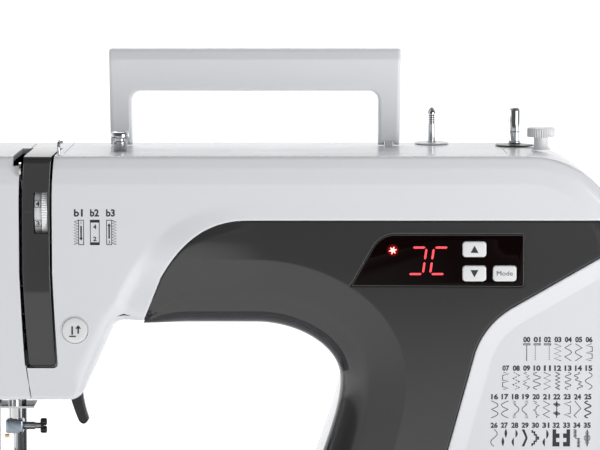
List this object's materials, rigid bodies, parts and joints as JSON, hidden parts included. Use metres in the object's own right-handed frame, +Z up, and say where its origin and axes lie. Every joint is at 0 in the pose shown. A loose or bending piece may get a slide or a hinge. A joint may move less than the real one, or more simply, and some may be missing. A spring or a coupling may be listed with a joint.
{
  "type": "sewing machine",
  "caption": "Computerised free-arm sewing machine with folding carry handle, gloss arch panel, display, tension strip, needle and presser mechanism, and slide-off accessory box",
  "frame": {"origin": "on the table plane, below the middle of the machine's length and depth", "axes": "+X from the needle head towards the handwheel, -Y towards the operator, +Z up"},
  "size_m": [0.39, 0.16, 0.3166],
  "materials": {
    "white_shell": "white gloss moulding",
    "pale_plastic": "pale satin moulding",
    "dark_panel": "dark grey high gloss",
    "black_plastic": "black gloss",
    "rubber": "black rubber",
    "chrome": "bright plated",
    "steel": "ground steel",
    "cast_frame": "die cast, unpainted",
    "base_metal": "dark powder coat",
    "circuit_board": "green board",
    "clear_plastic": "clear moulding"
  },
  "bodies": {
    "root": {"front_shell": "white_shell", "rear_shell": "white_shell", "top_cover": "white_shell", "base_shell": "white_shell", "free_arm_shell": "white_shell", "spool_disc": "white_shell", "winder_stopper": "pale_plastic", "front_panel": "dark_panel", "tension_strip": "dark_panel", "display_window": "black_plastic", "power_inlet": "black_plastic", "foot_front_left": "rubber", "foot_front_right": "rubber", "foot_rear_left": "rubber", "foot_rear_right": "rubber", "timing_belt": "rubber", "motor_belt": "rubber", "bobbin_thread_guide": "chrome", "thread_hook": "chrome", "head_thread_guide": "chrome", "presser_spring": "steel", "needle_plate": "steel", "motor": "steel", "frame": "cast_frame", "base_plate": "base_metal", "control_board": "circuit_board"},
    "handle": {"carry_handle": "pale_plastic"},
    "face_cover": {"face_cover": "white_shell"},
    "accessory_box": {"accessory_box": "white_shell"},
    "accessory_lid": {"accessory_lid": "white_shell"},
    "needle_bar": {"needle_bar": "chrome", "needle_clamp": "steel", "needle": "chrome"},
    "clamp_screw": {"clamp_screw": "black_plastic"},
    "crank_link": {"crank_link": "steel"},
    "take_up": {"take_up_lever": "chrome"},
    "presser_bar": {"presser_bar": "steel", "foot_holder": "steel"},
    "presser_foot": {"presser_foot": "chrome"},
    "presser_lifter": {"presser_lifter": "black_plastic"},
    "main_shaft": {"upper_shaft": "steel", "needle_crank": "steel", "drive_pulley": "pale_plastic", "handwheel": "white_shell"},
    "lower_shaft": {"lower_shaft": "steel", "lower_pulley": "pale_plastic"},
    "hook": {"hook": "steel"},
    "motor_pulley": {"motor_pulley": "steel"},
    "bobbin": {"bobbin": "clear_plastic"},
    "feed_dog": {"feed_dog": "steel"},
    "up_button": {"up_button": "pale_plastic"},
    "down_button": {"down_button": "pale_plastic"},
    "mode_button": {"mode_button": "pale_plastic"},
    "reverse_button": {"reverse_button": "pale_plastic"},
    "tension_dial": {"tension_dial": "pale_plastic"},
    "power_switch": {"power_switch": "black_plastic"},
    "spool_pin": {"spool_pin": "chrome"},
    "winder": {"winder_plate": "black_plastic"},
    "winder_spindle": {"winder_spindle": "chrome"},
    "bobbin_cover": {"bobbin_cover": "clear_plastic"}
  },
  "joints": [
    {"name": "handle_fold", "type": "hinge", "parent": "root", "child": "handle", "pos_m": [-0.0149, 0.024, 0.274], "axis": [-1, 0, 0], "range_deg": [0, 90]},
    {"name": "face_cover_swing", "type": "hinge", "parent": "root", "child": "face_cover", "pos_m": [-0.1311, 0.05, 0.205], "axis": [0, 0, -1], "range_deg": [0, 70]},
    {"name": "accessory_box_slide", "type": "slide", "parent": "root", "child": "accessory_box", "axis": [-1, 0, 0], "range_m": [0, 0.18]},
    {"name": "accessory_lid_swing", "type": "hinge", "parent": "accessory_box", "child": "accessory_lid", "pos_m": [-0.0965, -0.0761, 0.075], "axis": [1, 0, 0], "range_deg": [0, 100]},
    {"name": "needle_bar_slide", "type": "slide", "parent": "root", "child": "needle_bar", "axis": [0, 0, -1], "range_m": [0, 0.031]},
    {"name": "clamp_screw_turn", "type": "hinge", "parent": "needle_bar", "child": "clamp_screw", "pos_m": [-0.1345, -0.001, 0.1233], "axis": [1, 0, 0], "continuous": true},
    {"name": "crank_link_swing", "type": "hinge", "parent": "needle_bar", "child": "crank_link", "pos_m": [-0.1327, 0, 0.201], "axis": [1, 0, 0], "range_deg": [-25, 25]},
    {"name": "take_up_swing", "type": "hinge", "parent": "root", "child": "take_up", "pos_m": [-0.13, -0.01, 0.236], "axis": [1, 0, 0], "range_deg": [0, 56]},
    {"name": "presser_bar_lift", "type": "slide", "parent": "root", "child": "presser_bar", "axis": [0, 0, 1], "range_m": [0, 0.006]},
    {"name": "presser_foot_tilt", "type": "hinge", "parent": "presser_bar", "child": "presser_foot", "pos_m": [-0.1385, 0.009, 0.082], "axis": [1, 0, 0], "range_deg": [-10, 0]},
    {"name": "presser_lifter_raise", "type": "hinge", "parent": "root", "child": "presser_lifter", "pos_m": [-0.1095, 0.015, 0.158], "axis": [0, -1, 0], "range_deg": [0, 45]},
    {"name": "handwheel_turn", "type": "hinge", "parent": "root", "child": "main_shaft", "pos_m": [0, 0, 0.222], "axis": [1, 0, 0], "continuous": true},
    {"name": "lower_shaft_turn", "type": "hinge", "parent": "root", "child": "lower_shaft", "pos_m": [0, -0.0035, 0.046], "axis": [1, 0, 0], "continuous": true},
    {"name": "hook_turn", "type": "hinge", "parent": "root", "child": "hook", "pos_m": [-0.1385, -0.0175, 0.06], "axis": [0, 0, 1], "continuous": true},
    {"name": "motor_pulley_turn", "type": "hinge", "parent": "root", "child": "motor_pulley", "pos_m": [0.134, -0.018, 0.125], "axis": [1, 0, 0], "continuous": true},
    {"name": "bobbin_turn", "type": "hinge", "parent": "root", "child": "bobbin", "pos_m": [-0.1385, -0.0175, 0.063], "axis": [0, 0, 1], "continuous": true},
    {"name": "feed_dog_slide", "type": "slide", "parent": "root", "child": "feed_dog", "axis": [0, 1, 0], "range_m": [-0.0015, 0.0015]},
    {"name": "up_button_press", "type": "slide", "parent": "root", "child": "up_button", "axis": [0, 1, 0], "range_m": [0, 0.001], "stiffness_N_per_m": 400},
    {"name": "down_button_press", "type": "slide", "parent": "root", "child": "down_button", "axis": [0, 1, 0], "range_m": [0, 0.001], "stiffness_N_per_m": 400},
    {"name": "mode_button_press", "type": "slide", "parent": "root", "child": "mode_button", "axis": [0, 1, 0], "range_m": [0, 0.001], "stiffness_N_per_m": 400},
    {"name": "reverse_button_press", "type": "slide", "parent": "root", "child": "reverse_button", "axis": [0, 1, 0], "range_m": [0, 0.002], "stiffness_N_per_m": 400},
    {"name": "tension_dial_turn", "type": "hinge", "parent": "root", "child": "tension_dial", "pos_m": [-0.1203, -0.0382, 0.2378], "axis": [1, 0, 0], "range_deg": [-150, 150]},
    {"name": "power_switch_rock", "type": "hinge", "parent": "root", "child": "power_switch", "pos_m": [0.16, -0.034, 0.042], "axis": [0, 1, 0], "range_deg": [0, 8]},
    {"name": "spool_pin_retract", "type": "slide", "parent": "root", "child": "spool_pin", "axis": [0, 0, -1], "range_m": [0, 0.018]},
    {"name": "winder_shift", "type": "slide", "parent": "root", "child": "winder", "axis": [1, 0, 0], "range_m": [0, 0.004]},
    {"name": "winder_spindle_turn", "type": "hinge", "parent": "winder", "child": "winder_spindle", "pos_m": [0.1193, 0.02, 0.275], "axis": [0, 0, 1], "continuous": true},
    {"name": "bobbin_cover_slide", "type": "slide", "parent": "root", "child": "bobbin_cover", "axis": [0, -1, 0], "range_m": [0, 0.025]}
  ],
  "couplings": [
    {"joint": "take_up_swing", "follows": "needle_bar_slide", "rad_per_m": 31.5},
    {"joint": "presser_lifter_raise", "follows": "presser_bar_lift", "rad_per_m": 130.9},
    {"joint": "lower_shaft_turn", "follows": "handwheel_turn", "ratio": 1},
    {"joint": "hook_turn", "follows": "handwheel_turn", "ratio": 2},
    {"joint": "motor_pulley_turn", "follows": "handwheel_turn", "ratio": 4.3333}
  ]
}
